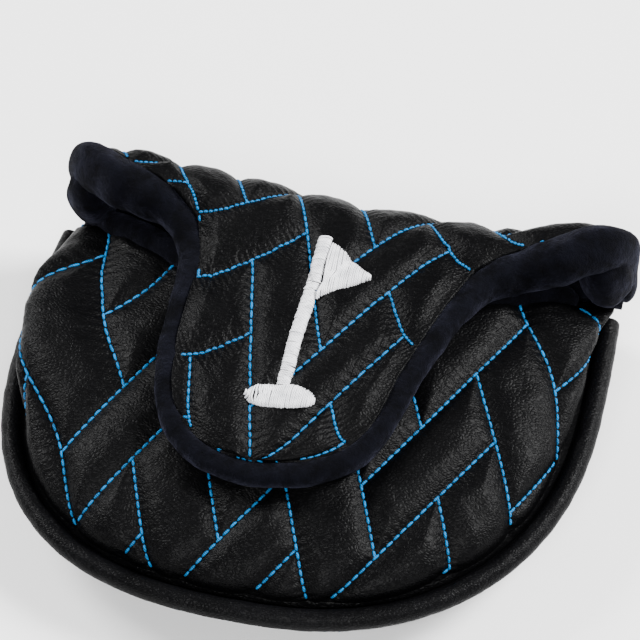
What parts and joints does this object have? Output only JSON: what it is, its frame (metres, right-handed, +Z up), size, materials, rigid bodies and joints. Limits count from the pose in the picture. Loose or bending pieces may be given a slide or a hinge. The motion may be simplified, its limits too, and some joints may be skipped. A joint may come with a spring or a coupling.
{
  "type": "putter head cover",
  "caption": "Padded D-shaped pouch for a mallet putter head, with a face wall and a magnetic tongue flap that folds over the top panel.",
  "frame": {"origin": "middle of the flat underside of the sole", "axes": "+X towards the toe end (the wide direction), +Y from the round nose towards the face wall, +Z up from the sole"},
  "size_m": [0.1333, 0.1062, 0.0436],
  "materials": {
    "leather": "fine pebble grain, soft sheen",
    "velour": "short pile",
    "foam": "open-cell padding",
    "cord": "twisted cord",
    "magnet": "plated",
    "thread": "satin stitch"
  },
  "bodies": {
    "pouch": {"top_leather": "leather", "top_foam": "foam", "top_lining": "velour", "top_edge_roll": "velour", "top_magnet_toe": "magnet", "top_magnet_heel": "magnet", "sole_leather": "leather", "sole_foam": "foam", "sole_lining": "velour", "piping_cover": "leather", "piping_cord": "cord", "seam_tape": "velour"},
    "face_wall": {"wall_leather": "leather", "wall_foam": "foam", "wall_lining": "velour", "wall_roll_toe": "velour", "wall_roll_heel": "velour"},
    "flap": {"flap_leather": "leather", "flap_foam": "foam", "flap_lining": "velour", "flap_roll": "velour", "flap_magnet_toe": "magnet", "flap_magnet_heel": "magnet", "flap_emblem": "thread"}
  },
  "joints": [
    {"name": "wall_hinge", "type": "hinge", "parent": "pouch", "child": "face_wall", "pos_m": [0, 0.049, 0], "axis": [-1, 0, 0], "range_deg": [0, 75]},
    {"name": "flap_hinge", "type": "hinge", "parent": "face_wall", "child": "flap", "pos_m": [0, 0.049, 0.034], "axis": [-1, 0, 0], "range_deg": [0, 95]}
  ]
}
